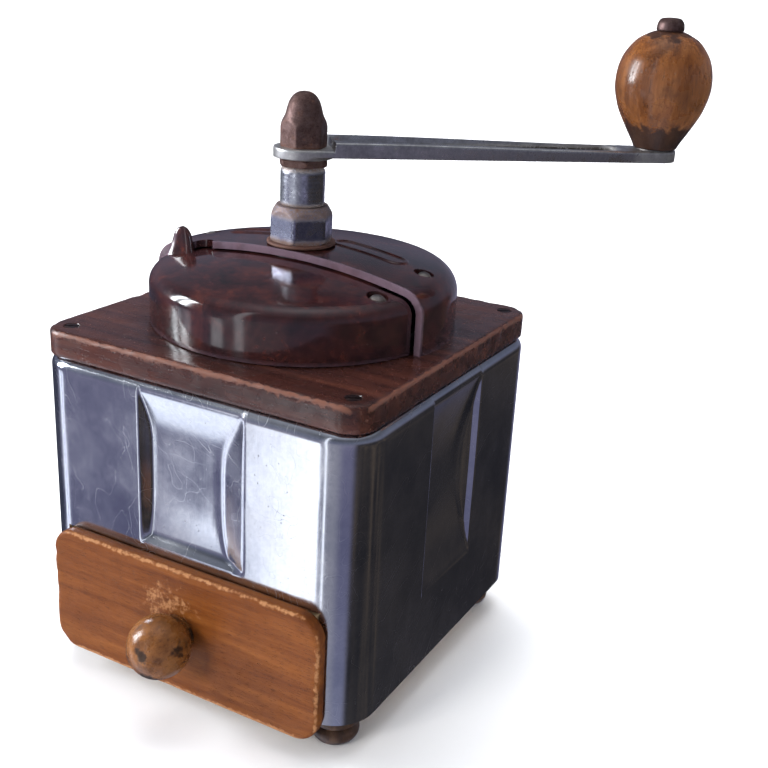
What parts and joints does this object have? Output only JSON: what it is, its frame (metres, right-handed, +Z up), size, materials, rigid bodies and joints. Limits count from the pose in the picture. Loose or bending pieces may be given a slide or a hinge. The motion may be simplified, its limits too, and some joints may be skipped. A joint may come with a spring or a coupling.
{
  "type": "hand crank coffee grinder",
  "caption": "Box coffee mill: pressed metal case on wooden feet, moulded hopper dome with swing lid, hand crank with wooden knob, and a wooden drawer.",
  "frame": {"origin": "on the ground plane, at the middle of the whole outline seen from above with the crank at rest; the drive shaft's axis is at x -0.0235, y -0.0041", "axes": "+Z up along the drive shaft, -Y towards the drawer front, +X to the right of the drawer"},
  "size_m": [0.172, 0.1825, 0.223],
  "materials": {
    "case_metal": "polished sheet, lightly scratched",
    "dark_wood": "varnished, worn edges",
    "drawer_wood": "varnished, worn",
    "knob_wood": "turned, glossy",
    "foot_wood": "turned, dark and worn",
    "plain_wood": "unfinished",
    "moulding": "very glossy, faintly mottled",
    "bright_steel": "plated, tarnished",
    "old_steel": "tarnished",
    "brown_steel": "brown patina",
    "iron": "as cast",
    "brass": "dull"
  },
  "bodies": {
    "housing": {"body_shell": "case_metal", "top_plate": "dark_wood", "top_plate_screws": "old_steel", "corner_blocks": "plain_wood", "chute_board": "plain_wood", "drawer_runners": "plain_wood", "base_board": "plain_wood", "base_screws": "old_steel", "feet": "foot_wood", "foot_screws": "old_steel", "hopper_dome": "moulding", "dome_screws": "old_steel", "burr_housing": "iron", "housing_screws": "old_steel", "outer_burr": "iron", "upper_bridge": "iron", "bridge_screws": "old_steel", "lid_bracket": "old_steel", "bracket_screw": "old_steel", "lid_rivet": "old_steel", "bearing_tube": "old_steel", "nut_washer": "brown_steel", "bearing_nut": "bright_steel", "lower_bridge": "iron", "lower_bush": "brass", "lower_bridge_screws": "old_steel"},
    "lid": {"hopper_lid": "moulding"},
    "crank": {"crank_arm": "old_steel", "cap_nut": "brown_steel", "knob_pin": "brown_steel", "knob_washer": "old_steel"},
    "crank_grip": {"crank_knob": "knob_wood"},
    "adjuster": {"adjusting_sleeve": "bright_steel", "lock_ring": "brown_steel"},
    "spindle": {"drive_shaft": "old_steel", "inner_burr": "iron", "burr_washer": "old_steel", "burr_nut": "old_steel"},
    "drawer": {"drawer_front": "drawer_wood", "drawer_sides": "plain_wood", "drawer_back": "plain_wood", "drawer_bottom": "plain_wood", "drawer_knob": "knob_wood", "drawer_knob_screw": "old_steel", "drawer_nails": "old_steel"}
  },
  "joints": [
    {"name": "crank_turn", "type": "hinge", "parent": "housing", "child": "crank", "pos_m": [-0.02349, -0.00408, 0], "axis": [0, 0, 1], "continuous": true},
    {"name": "adjust_turn", "type": "hinge", "parent": "crank", "child": "adjuster", "pos_m": [-0.02349, -0.00408, 0], "axis": [0, 0, 1], "range_deg": [-360, 360]},
    {"name": "spindle_lift", "type": "slide", "parent": "crank", "child": "spindle", "axis": [0, 0, 1], "range_m": [-0.00125, 0.00125]},
    {"name": "knob_spin", "type": "hinge", "parent": "crank", "child": "crank_grip", "pos_m": [0.06979, 0.07503, 0], "axis": [0, 0, 1], "continuous": true},
    {"name": "lid_swing", "type": "hinge", "parent": "housing", "child": "lid", "pos_m": [0.01601, -0.02108, 0], "axis": [0, 0, 1], "range_deg": [0, 80]},
    {"name": "drawer_slide", "type": "slide", "parent": "housing", "child": "drawer", "axis": [0, -1, 0], "range_m": [0, 0.08]}
  ],
  "couplings": [
    {"joint": "adjust_turn", "follows": "spindle_lift", "rad_per_m": -5026.5}
  ]
}
